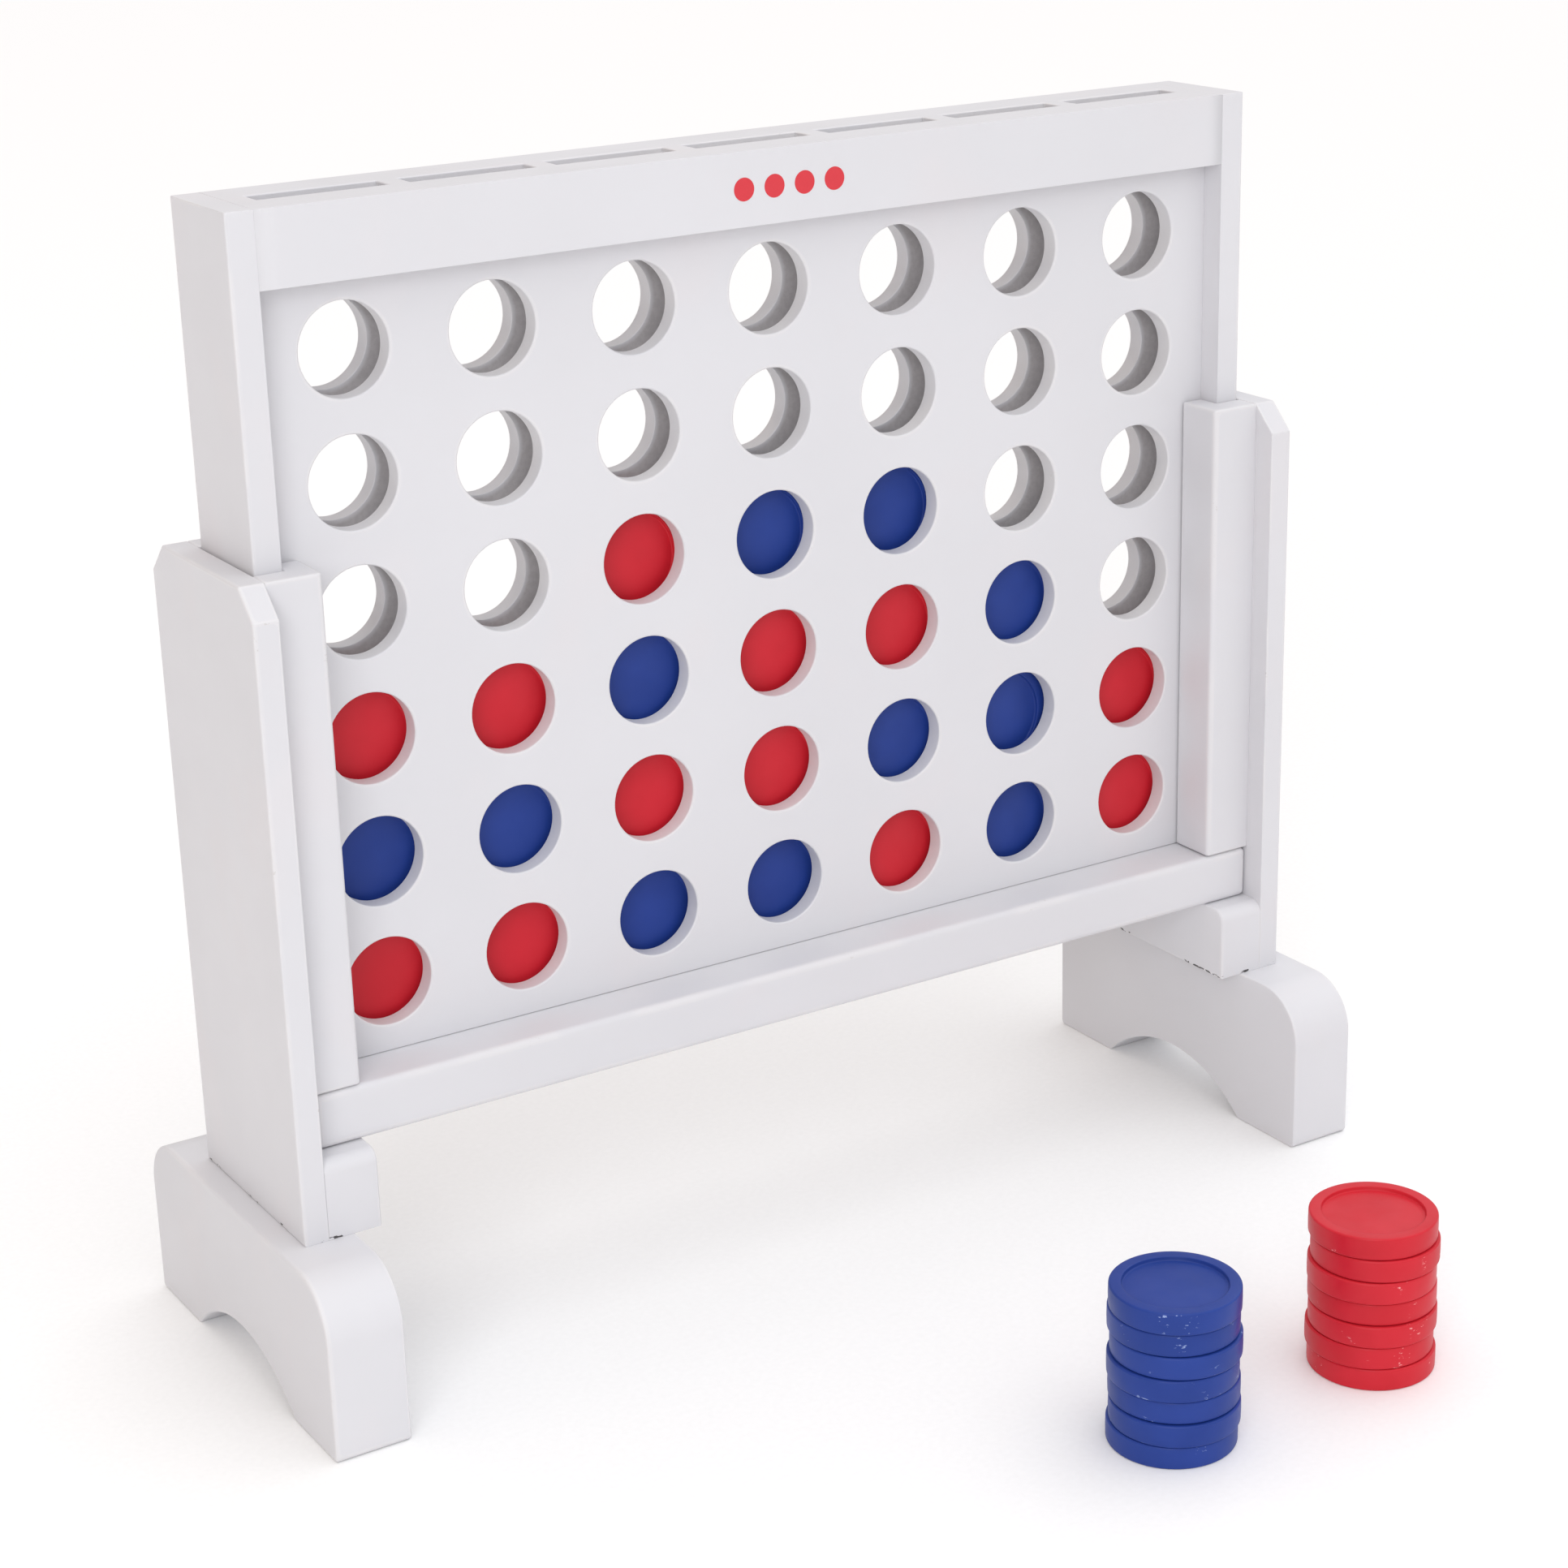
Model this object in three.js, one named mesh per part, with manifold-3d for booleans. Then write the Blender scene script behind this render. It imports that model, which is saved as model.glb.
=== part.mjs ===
// A giant four-in-a-row lawn game in painted wood: a board with seven columns of six holes, two legs
// that it drops into, a loose bar that closes the columns from below, and red and blue plastic discs.
// Millimetres. +X is along the board, -Y is the front, +Z is up, and the ground is z = 0.
import * as THREE from "three";
import { mergeVertices } from "three/addons/utils/BufferGeometryUtils.js";
import Module from "manifold-3d";

// ---- Driving dimensions ----
const TOUCH_GAP = 0.3; // left between two pieces that touch

const BOARD_WIDTH = 600;
const BOARD_DEPTH = 65;
const BOARD_TOP = 604.5;
const SIDE_RAIL_WIDTH = 14.5;
const TOP_RAIL_HEIGHT = 38;

const COLUMNS = 7;
const ROWS = 6;
const COLUMN_PITCH = 79.6;
const ROW_PITCH = 65.3;
const TOP_ROW_Z = 530.9;
const HOLE_RADIUS = 23.7;
const HOLE_ARC_STEPS = 8; // half the sides of a hole's outline
const PANEL_FACE = 18; // from the middle of the board to the outer face of a panel
const CAVITY_DEPTH = 15; // between the two panels
const COLUMN_WIDTH = 75.6; // between two dividers
const SLOT_LENGTH = 68; // of the opening over a column

const DISC_DIAMETER = 65.5;
const DISC_THICKNESS = 12;
const DISC_RIM_WIDTH = 6;
const DISC_RECESS = 2.2; // depth of the face inside the rim
const DISC_EDGE = 0.8; // chamfer of the outer edges
const DISC_SIDES = 18;

const LEG_TOP = 433;
const LEG_DEPTH = 124;
const PLATE_THICKNESS = 13.5;
const PLATE_CHAMFER = 15;
const RAIL_PLAY = 1.2; // between a side rail and the leg around it
const PANEL_PLAY = 2; // between a panel and a batten
const BATTEN_WIDTH = 29.5;
const REAR_BATTEN_WIDTH = 14.6; // narrower, because it doesn't show through the end holes
const BATTEN_FACE = 48; // from the middle of the board to the outer face of a batten
const BATTEN_BOTTOM = 167;

const BAR_TOP = 166.4;
const BAR_HEIGHT = 29.6;
const BAR_DEPTH = 96;
const BAR_END_PLAY = 2; // at each end when the bar is in the middle
const BAR_SHIFT = 1.7; // of the bar towards the right leg
const BAR_EDGE_RADIUS = 3;

const FOOT_HEIGHT = 94;
const FOOT_LENGTH = 226;
const FOOT_INNER_X = 287;
const FOOT_WIDTH = 41;
const FOOT_CORNER_RADIUS = 30;
const ARCH_HALF_SPAN = 62;
const ARCH_RISE = 24.5;
const BLOCK_WIDTH = 29;
const BLOCK_EDGE_RADIUS = 7;

const STACK_HEIGHT = 7; // discs in each stack beside the board
const STACK_SHIFT = 0.8; // how far a disc may sit off its stack's axis
const STACKS = [
  { colour: "blue", x: 27.4, y: -325 },
  { colour: "red", x: 157, y: -324 },
];
// The discs in each column of the board, from the bottom up: r is red and b is blue.
const PLAYED = ["rbr", "rbr", "brbr", "brrb", "rbrb", "bbb", "rr"];
const LEANING = { column: 5, level: 1, shift: -4.6 }; // the disc that lies against the side of its column

// ---- Worked out from the driving dimensions ----
const boardBottom = BAR_TOP + TOUCH_GAP;
const railInnerX = BOARD_WIDTH / 2 - SIDE_RAIL_WIDTH;
const topRailBottom = BOARD_TOP - TOP_RAIL_HEIGHT;
const panelTop = topRailBottom - TOUCH_GAP;
const fillerHalfDepth = CAVITY_DEPTH / 2 - TOUCH_GAP; // of what stands between the two panels
const plateInnerX = BOARD_WIDTH / 2 + RAIL_PLAY;
const discPitch = DISC_DIAMETER + TOUCH_GAP;
const stackPitch = DISC_THICKNESS + TOUCH_GAP;
// The origin is under the middle of the whole set, from the front of the stacks to the back of the feet.
const setFront = Math.min(...STACKS.map((stack) => stack.y)) - DISC_DIAMETER / 2 - STACK_SHIFT;
const boardY = -(setFront + FOOT_LENGTH / 2) / 2;

// ---- Materials ----
const paint = new THREE.MeshStandardMaterial({ color: 0xe4e3e9, roughness: 0.45, metalness: 0 });
const plastic = {
  red: new THREE.MeshStandardMaterial({ color: 0xcf2c3b, roughness: 0.5, metalness: 0 }),
  blue: new THREE.MeshStandardMaterial({ color: 0x2c4596, roughness: 0.5, metalness: 0 }),
};

// ---- Solids from outlines ----
const wasm = await Module();
wasm.setup();

function toManifold(geometry) {
  const bare = geometry.clone();
  bare.deleteAttribute("normal");
  bare.deleteAttribute("uv");
  const merged = mergeVertices(bare, 1e-4);
  return new wasm.Manifold(
    new wasm.Mesh({
      numProp: 3,
      vertProperties: merged.attributes.position.array,
      triVerts: new Uint32Array(merged.index.array),
    }),
  );
}

function fromManifold(solid) {
  const mesh = solid.getMesh();
  const geometry = new THREE.BufferGeometry();
  geometry.setAttribute("position", new THREE.BufferAttribute(mesh.vertProperties, 3));
  geometry.setIndex(new THREE.BufferAttribute(mesh.triVerts, 1));
  geometry.computeVertexNormals();
  return geometry;
}

function box([x0, x1], [y0, y1], [z0, z1]) {
  const geometry = new THREE.BoxGeometry(x1 - x0, y1 - y0, z1 - z0);
  return geometry.translate((x0 + x1) / 2, (y0 + y1) / 2, (z0 + z1) / 2);
}

function outline(points) {
  return new THREE.Shape(points.map(([a, b]) => new THREE.Vector2(a, b)));
}

function extruded(shape, depth, curveSegments) {
  return new THREE.ExtrudeGeometry(shape, { depth, curveSegments, bevelEnabled: false });
}

// A shape drawn in (y, z), running from x0 to x1.
function alongX(shape, [x0, x1], curveSegments) {
  const turn = new THREE.Matrix4().makeBasis(
    new THREE.Vector3(0, 1, 0),
    new THREE.Vector3(0, 0, 1),
    new THREE.Vector3(1, 0, 0),
  );
  return extruded(shape, x1 - x0, curveSegments).applyMatrix4(turn).translate(x0, 0, 0);
}

// A shape drawn in (x, z), running from y0 to y1.
function alongY(shape, [y0, y1], curveSegments) {
  const geometry = extruded(shape, y1 - y0, curveSegments);
  return geometry.rotateX(Math.PI / 2).translate(0, y1, 0);
}

// A shape drawn in (x, y), running from z0 to z1.
function alongZ(shape, [z0, z1]) {
  return extruded(shape, z1 - z0, 1).translate(0, 0, z0);
}

function piece(name, geometry, material) {
  const mesh = new THREE.Mesh(geometry, material);
  mesh.name = name;
  return mesh;
}

function columnX(column) {
  return (column - (COLUMNS - 1) / 2) * COLUMN_PITCH;
}

// The range from a to b, measured outwards from the middle: side is -1 for the left and 1 for the right.
function outward(side, a, b) {
  return side < 0 ? [-b, -a] : [a, b];
}

// ---- The board ----
function topRail() {
  const railX = [-railInnerX + TOUCH_GAP, railInnerX - TOUCH_GAP];
  let rail = toManifold(box(railX, [-BOARD_DEPTH / 2, BOARD_DEPTH / 2], [topRailBottom, BOARD_TOP]));
  for (let column = 0; column < COLUMNS; column++) {
    const x = columnX(column);
    const slotX = [x - SLOT_LENGTH / 2, x + SLOT_LENGTH / 2];
    const slotY = [-CAVITY_DEPTH / 2, CAVITY_DEPTH / 2];
    rail = rail.subtract(toManifold(box(slotX, slotY, [topRailBottom - 1, BOARD_TOP + 1])));
  }
  return fromManifold(rail);
}

function perforatedPanel(yRange) {
  const halfLength = railInnerX - TOUCH_GAP;
  const shape = outline([
    [-halfLength, boardBottom],
    [halfLength, boardBottom],
    [halfLength, panelTop],
    [-halfLength, panelTop],
  ]);
  for (let column = 0; column < COLUMNS; column++) {
    for (let row = 0; row < ROWS; row++) {
      const hole = new THREE.Path();
      hole.absarc(columnX(column), TOP_ROW_Z - row * ROW_PITCH, HOLE_RADIUS, 0, 2 * Math.PI);
      shape.holes.push(hole);
    }
  }
  return alongY(shape, yRange, HOLE_ARC_STEPS);
}

// A side rail, with the tongue between the panels that closes the end column.
function sideRail(side) {
  const tongueInnerX = columnX(COLUMNS - 1) + COLUMN_WIDTH / 2;
  const railMiddleX = (railInnerX + BOARD_WIDTH / 2) / 2;
  const railX = outward(side, railInnerX, BOARD_WIDTH / 2);
  const rail = box(railX, [-BOARD_DEPTH / 2, BOARD_DEPTH / 2], [boardBottom, BOARD_TOP]);
  const tongueX = outward(side, tongueInnerX, railMiddleX);
  const tongue = box(tongueX, [-fillerHalfDepth, fillerHalfDepth], [boardBottom, panelTop]);
  return fromManifold(toManifold(rail).add(toManifold(tongue)));
}

function columnDivider(index) {
  const x = (columnX(index) + columnX(index + 1)) / 2;
  const halfWidth = (COLUMN_PITCH - COLUMN_WIDTH) / 2;
  return box([x - halfWidth, x + halfWidth], [-fillerHalfDepth, fillerHalfDepth], [boardBottom, panelTop]);
}

function board() {
  const group = new THREE.Group();
  const panelBack = CAVITY_DEPTH / 2;
  group.add(piece("top_rail", topRail(), paint));
  group.add(piece("left_side_rail", sideRail(-1), paint));
  group.add(piece("right_side_rail", sideRail(1), paint));
  group.add(piece("front_panel", perforatedPanel([-PANEL_FACE, -panelBack]), paint));
  group.add(piece("rear_panel", perforatedPanel([panelBack, PANEL_FACE]), paint));
  for (let index = 0; index < COLUMNS - 1; index++) {
    group.add(piece(`column_divider_${index + 1}`, columnDivider(index), paint));
  }
  return group;
}

// ---- The release bar ----
function releaseBar() {
  const halfDepth = BAR_DEPTH / 2 - BAR_EDGE_RADIUS;
  const low = BAR_TOP - BAR_HEIGHT + BAR_EDGE_RADIUS;
  const high = BAR_TOP - BAR_EDGE_RADIUS;
  const shape = new THREE.Shape();
  shape.absarc(halfDepth, high, BAR_EDGE_RADIUS, 0, Math.PI / 2);
  shape.absarc(-halfDepth, high, BAR_EDGE_RADIUS, Math.PI / 2, Math.PI);
  shape.absarc(-halfDepth, low, BAR_EDGE_RADIUS, Math.PI, 1.5 * Math.PI);
  shape.absarc(halfDepth, low, BAR_EDGE_RADIUS, 1.5 * Math.PI, 2 * Math.PI);
  const halfLength = plateInnerX - BAR_END_PLAY;
  return alongX(shape, [BAR_SHIFT - halfLength, BAR_SHIFT + halfLength], 3);
}

// ---- A leg ----
function legPlate(side) {
  const half = LEG_DEPTH / 2;
  const bottom = FOOT_HEIGHT + TOUCH_GAP;
  const shape = outline([
    [-half, bottom],
    [half, bottom],
    [half, LEG_TOP - PLATE_CHAMFER],
    [half - PLATE_CHAMFER, LEG_TOP],
    [-half + PLATE_CHAMFER, LEG_TOP],
    [-half, LEG_TOP - PLATE_CHAMFER],
  ]);
  return alongX(shape, outward(side, plateInnerX, plateInnerX + PLATE_THICKNESS), 1);
}

// The front batten is rebated over the edge of the side rail, and its inner part reaches back to the panel.
function frontBatten(side) {
  const outer = plateInnerX - TOUCH_GAP;
  const inner = plateInnerX - BATTEN_WIDTH;
  const shoulder = railInnerX - RAIL_PLAY;
  const overRail = BOARD_DEPTH / 2 + RAIL_PLAY;
  const overPanel = PANEL_FACE + PANEL_PLAY;
  const corners = [
    [inner, BATTEN_FACE],
    [inner, overPanel],
    [shoulder, overPanel],
    [shoulder, overRail],
    [outer, overRail],
    [outer, BATTEN_FACE],
  ];
  const placed = corners.map(([x, y]) => [side * x, -y]);
  return alongZ(outline(placed), [BATTEN_BOTTOM, LEG_TOP]);
}

// The rear batten is a plain strip behind the side rail.
function rearBatten(side) {
  const x = outward(side, plateInnerX - REAR_BATTEN_WIDTH, plateInnerX - TOUCH_GAP);
  return box(x, [BOARD_DEPTH / 2 + RAIL_PLAY, BATTEN_FACE], [BATTEN_BOTTOM, LEG_TOP]);
}

function bracketBlock(side) {
  const half = LEG_DEPTH / 2;
  const top = BAR_TOP - BAR_HEIGHT - TOUCH_GAP;
  const radius = BLOCK_EDGE_RADIUS;
  const shape = new THREE.Shape();
  shape.moveTo(-half, FOOT_HEIGHT + TOUCH_GAP);
  shape.lineTo(half, FOOT_HEIGHT + TOUCH_GAP);
  shape.absarc(half - radius, top - radius, radius, 0, Math.PI / 2);
  shape.absarc(-half + radius, top - radius, radius, Math.PI / 2, Math.PI);
  return alongX(shape, outward(side, plateInnerX - BLOCK_WIDTH, plateInnerX - TOUCH_GAP), 4);
}

function foot(side) {
  const half = FOOT_LENGTH / 2;
  const radius = FOOT_CORNER_RADIUS;
  const archRadius = (ARCH_HALF_SPAN ** 2 + ARCH_RISE ** 2) / (2 * ARCH_RISE);
  const archAngle = Math.asin(ARCH_HALF_SPAN / archRadius);
  const up = Math.PI / 2;
  const shape = new THREE.Shape();
  shape.moveTo(half, 0);
  shape.lineTo(half, FOOT_HEIGHT - radius);
  shape.absarc(half - radius, FOOT_HEIGHT - radius, radius, 0, up);
  shape.absarc(-half + radius, FOOT_HEIGHT - radius, radius, up, Math.PI);
  shape.lineTo(-half, 0);
  shape.absarc(0, ARCH_RISE - archRadius, archRadius, up + archAngle, up - archAngle, true);
  return alongX(shape, outward(side, FOOT_INNER_X, FOOT_INNER_X + FOOT_WIDTH), 10);
}

function leg(side, word) {
  const group = new THREE.Group();
  group.add(piece(`${word}_leg_plate`, legPlate(side), paint));
  group.add(piece(`${word}_front_batten`, frontBatten(side), paint));
  group.add(piece(`${word}_rear_batten`, rearBatten(side), paint));
  group.add(piece(`${word}_bracket_block`, bracketBlock(side), paint));
  group.add(piece(`${word}_foot`, foot(side), paint));
  return group;
}

// ---- Discs ----
// A disc lying flat with its centre at the origin: a rim round a shallow recess on both faces.
function discGeometry() {
  const radius = DISC_DIAMETER / 2;
  const half = DISC_THICKNESS / 2;
  const recessRadius = radius - DISC_RIM_WIDTH;
  const lower = [
    [0, -half + DISC_RECESS],
    [recessRadius - DISC_RECESS, -half + DISC_RECESS],
    [recessRadius, -half],
    [radius - DISC_EDGE, -half],
    [radius, -half + DISC_EDGE],
  ];
  const upper = lower.map(([r, z]) => [r, -z]).reverse();
  const profile = [...lower, ...upper].map(([r, z]) => new THREE.Vector2(r, z));
  return new THREE.LatheGeometry(profile, DISC_SIDES).rotateX(Math.PI / 2);
}

// The discs played in a column, standing on the release bar.
function playedDiscs(column) {
  const group = new THREE.Group();
  const upright = discGeometry().rotateX(Math.PI / 2);
  [...PLAYED[column]].forEach((letter, level) => {
    const colour = letter === "r" ? "red" : "blue";
    const disc = piece(`disc_c${column + 1}_r${level + 1}_${colour}`, upright, plastic[colour]);
    const leans = column === LEANING.column && level === LEANING.level;
    const x = columnX(column) + (leans ? LEANING.shift : 0);
    disc.position.set(x, 0, boardBottom + DISC_DIAMETER / 2 + level * discPitch);
    group.add(disc);
  });
  return group;
}

function discStack({ colour, x, y }) {
  const group = new THREE.Group();
  const flat = discGeometry();
  group.position.set(x, y, DISC_THICKNESS / 2);
  for (let level = 0; level < STACK_HEIGHT; level++) {
    const disc = piece(`disc_stack_${colour}_${level + 1}`, flat, plastic[colour]);
    const heading = 2.4 * level + x;
    disc.position.set(STACK_SHIFT * Math.cos(heading), STACK_SHIFT * Math.sin(heading), level * stackPitch);
    group.add(disc);
  }
  return group;
}

// ---- The whole set ----
const game = new THREE.Group();
game.position.y = boardY;
game.add(board());
game.add(piece("release_bar", releaseBar(), paint));
game.add(leg(-1, "left"));
game.add(leg(1, "right"));
for (let column = 0; column < COLUMNS; column++) {
  game.add(playedDiscs(column));
}
for (const stack of STACKS) {
  game.add(discStack(stack));
}

export default game;
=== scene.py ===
import math

import bmesh
import bpy
import numpy as np
from mathutils import Matrix, Vector

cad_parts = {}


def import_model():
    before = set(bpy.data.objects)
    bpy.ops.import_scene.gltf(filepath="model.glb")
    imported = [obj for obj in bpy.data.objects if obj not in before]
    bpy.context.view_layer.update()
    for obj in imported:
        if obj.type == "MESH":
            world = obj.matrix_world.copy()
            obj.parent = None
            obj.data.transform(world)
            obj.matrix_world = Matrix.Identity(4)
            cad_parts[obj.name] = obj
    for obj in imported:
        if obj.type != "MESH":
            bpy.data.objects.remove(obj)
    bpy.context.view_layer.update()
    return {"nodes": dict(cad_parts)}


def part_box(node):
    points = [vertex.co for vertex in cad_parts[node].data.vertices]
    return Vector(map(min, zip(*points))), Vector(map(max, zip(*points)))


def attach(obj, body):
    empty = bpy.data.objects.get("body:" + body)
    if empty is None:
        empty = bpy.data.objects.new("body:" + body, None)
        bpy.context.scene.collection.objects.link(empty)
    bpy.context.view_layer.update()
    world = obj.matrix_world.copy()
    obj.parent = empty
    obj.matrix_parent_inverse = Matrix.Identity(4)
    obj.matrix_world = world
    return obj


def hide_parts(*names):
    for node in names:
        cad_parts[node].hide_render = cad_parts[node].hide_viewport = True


# The looks of a painted garden four in a row. Metres, in the frame's own axes: +X along the board,
# -Y the front, +Z up. Lengths below are given in millimetres times MM.
MM = 0.001

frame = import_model()

# ---- Sizes that the frame's boxes don't give ----
ARRIS = 1.2 * MM  # rounding of a sanded, painted edge
BUTT_ARRIS = 0.2 * MM  # rounding of an edge that is butted and painted over
PAINTED_ARRIS = 0.5 * MM  # rounding of an edge beside a joint
SOFT_ARRIS = 2.2 * MM  # rounding of a front batten's inner edge
BAR_ARRIS = 3.0 * MM
DIVIDER_ARRIS = 0.5 * MM
TOUCH = 0.32 * MM  # the frame leaves 0.3 mm between two pieces that touch, and paint fills it
RAIL_PLAY = 0.5 * MM  # between a side rail and the batten round it
PANEL_PLAY = 1 * MM  # between the front panel and the batten over it

GUARD = 2.4 * MM  # width over which an edge's wear fades out
CAP_GUARD = 0.8 * GUARD  # the same on the flat ends of a prism
GUARD_ROOM = 2.2 * GUARD  # a shorter straight has no room for its ends' guards
SOFT_RADIUS = 6 * MM  # from here on a corner is a curved face and not an edge
ROUND_STEPS = 3
CURVE_STEP = math.radians(5)
WELD = 2e-6  # points closer than this become one

PLATE_CHAMFER = 15 * MM
FOOT_CORNER_RADIUS = 30 * MM
FOOT_TOE_RADIUS = 3 * MM
FOOT_OUTER_ARRIS = 1.5 * MM
FOOT_INNER_ARRIS = 0.8 * MM
ARCH_HALF_SPAN = 62 * MM
ARCH_RISE = 24.5 * MM
ARCH_SHARE = 0.97  # of the arch's radius, which leaves a short straight at each end of it
BLOCK_EDGE_RADIUS = 7 * MM
RAIL_WIDTH = 14.5 * MM
TONGUE_LIFT = 0.1 * MM  # keeps the ends of a rail and its tongue out of one plane

COLUMNS = 7
ROWS = 6
ROW_PITCH = 65.3 * MM
TOP_ROW_DROP = 35.3 * MM  # from the top of a panel to the first row of holes
HOLE_RADIUS = 23.7 * MM
HOLE_OUTER_ARRIS = 1.0 * MM
HOLE_INNER_ARRIS = 0.4 * MM
HOLE_POINTS = 16  # on a quarter of a hole
SLOT_LENGTH = 68 * MM
SLOT_WIDTH = 15 * MM
SLOT_UPPER_ARRIS = 0.8 * MM
SLOT_LOWER_ARRIS = 0.5 * MM
SLOT_POINTS = 8  # on a side of a slot

DISC_RIM_WIDTH = 5.9 * MM
DISC_RECESS = 2.2 * MM
DISC_EDGE_RADIUS = 1.1 * MM
DISC_CROWN = 0.1 * MM  # by which the middle of the side stands proud
DISC_FLOOR_FILLET = 0.9 * MM
DISC_LIP_RADIUS = 0.6 * MM
DISC_STEP_WIDTH = 1.5 * MM  # from the lip in to the fillet
DISC_FLAT_MARGIN = 2 * MM  # from the fillet in to the flat of the floor
DISC_SIDES = 96
FILLET_STEPS = 5

# Where a disc sits in its column, from its CAD place. The ranges are in millimetres.
SLIDE_RANGE = (-0.2, 0.9)  # across the column
LEAN_RANGE = (-1.0, 0.2)  # towards the back
FOURTH_ROW_SLIDE = -0.9 * MM
BESIDE_DIVIDER_SLIDE = -0.3 * MM
REAR_LEAN = 1.1 * MM

MARK_DOTS = 4
MARK_RADIUS = 6 * MM
MARK_PITCH = 18 * MM
MARK_THICKNESS = 0.12 * MM
MARK_BEVEL = 0.1 * MM
MARK_SHIFT = 5 * MM  # from the middle of the rail to the middle of the mark
MARK_SIDES = 64


def middle(node):
    low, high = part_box(node)
    return (low + high) / 2


BOARD_Y = middle("top_rail").y
COLUMN_PITCH = middle("column_divider_2").x - middle("column_divider_1").x
COLUMN_CENTRES = [(column - (COLUMNS - 1) / 2) * COLUMN_PITCH for column in range(COLUMNS)]
JOINT_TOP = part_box("left_foot")[1].z  # the legs stand on their feet at this height
SEAM_REACH = 1.5 * MM  # height of the band of cracked paint above that
SEAM_RISE = 0.95 * MM  # from the joint to the middle of the band


# ---- Painted wood and moulded plastic, built from nodes ----
class Graph:
    """A material's node tree, built one node at a time."""

    def __init__(self, name):
        self.material = bpy.data.materials.new(name)
        self.material.use_nodes = True
        self.tree = self.material.node_tree
        self.shader = self.tree.nodes["Principled BSDF"]

    def put(self, socket, value):
        if isinstance(value, bpy.types.NodeSocket):
            self.tree.links.new(value, socket)
        else:
            socket.default_value = value

    def node(self, kind, settings=None, **inputs):
        made = self.tree.nodes.new(kind)
        for key, value in (settings or {}).items():
            setattr(made, key, value)
        for key, value in inputs.items():
            self.put(made.inputs[key.replace("_", " ")], value)
        return made

    def math(self, operation, *values, clamp=False):
        made = self.tree.nodes.new("ShaderNodeMath")
        made.operation = operation
        made.use_clamp = clamp
        for socket, value in zip(made.inputs, values):
            self.put(socket, value)
        return made.outputs[0]

    def noise(self, vector, scale, detail=2.0, roughness=0.5, offset=None):
        settings = {"noise_dimensions": "4D" if offset is not None else "3D"}
        inputs = {"Vector": vector, "Scale": scale, "Detail": detail, "Roughness": roughness}
        if offset is not None:
            inputs["W"] = offset
        return self.node("ShaderNodeTexNoise", settings, **inputs).outputs["Fac"]

    def ramp(self, value, low, high, out_low=0.0, out_high=1.0):
        made = self.tree.nodes.new("ShaderNodeMapRange")
        made.interpolation_type = "SMOOTHSTEP"
        for socket, item in zip(made.inputs, (value, low, high, out_low, out_high)):
            self.put(socket, item)
        return made.outputs["Result"]

    def blend(self, factor, first, second):
        made = self.tree.nodes.new("ShaderNodeMix")
        made.data_type = "RGBA"
        self.put(made.inputs[0], factor)
        self.put(made.inputs[6], first)
        self.put(made.inputs[7], second)
        return made.outputs[2]

    def stretched(self, vector, scale):
        return self.node("ShaderNodeMapping", Vector=vector, Scale=scale).outputs[0]

    def bumped(self, height, distance, normal=None):
        inputs = {"Height": height, "Distance": distance, "Strength": 1.0}
        if normal is not None:
            inputs["Normal"] = normal
        return self.node("ShaderNodeBump", **inputs).outputs[0]

    def attribute(self, name):
        return self.node("ShaderNodeAttribute", {"attribute_name": name}).outputs["Fac"]

    def finish(self, **inputs):
        for key, value in inputs.items():
            self.put(self.shader.inputs[key.replace("_", " ")], value)
        return self.material


def rgb(red, green, blue):
    return (red, green, blue, 1.0)


PAINT_TONES = rgb(0.668, 0.662, 0.686), rgb(0.683, 0.677, 0.702)
PAINT_BLUSH = rgb(0.69, 0.668, 0.688)
# Painted highlight: a lighter, slightly warm tone for the rounded edges
PAINT_EDGE_HIGHLIGHT = rgb(0.72, 0.705, 0.715)
PAINT_CHIPPED = rgb(0.52, 0.49, 0.47)
PAINT_CRACKED = rgb(0.05, 0.045, 0.045)
# Painted shade: two dark greys for the faces inside the board, between the panels
CAVITY_SHADE_TONES = rgb(0.50, 0.478, 0.485), rgb(0.54, 0.518, 0.525)
CRACK_STRENGTH = 1.6


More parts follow.
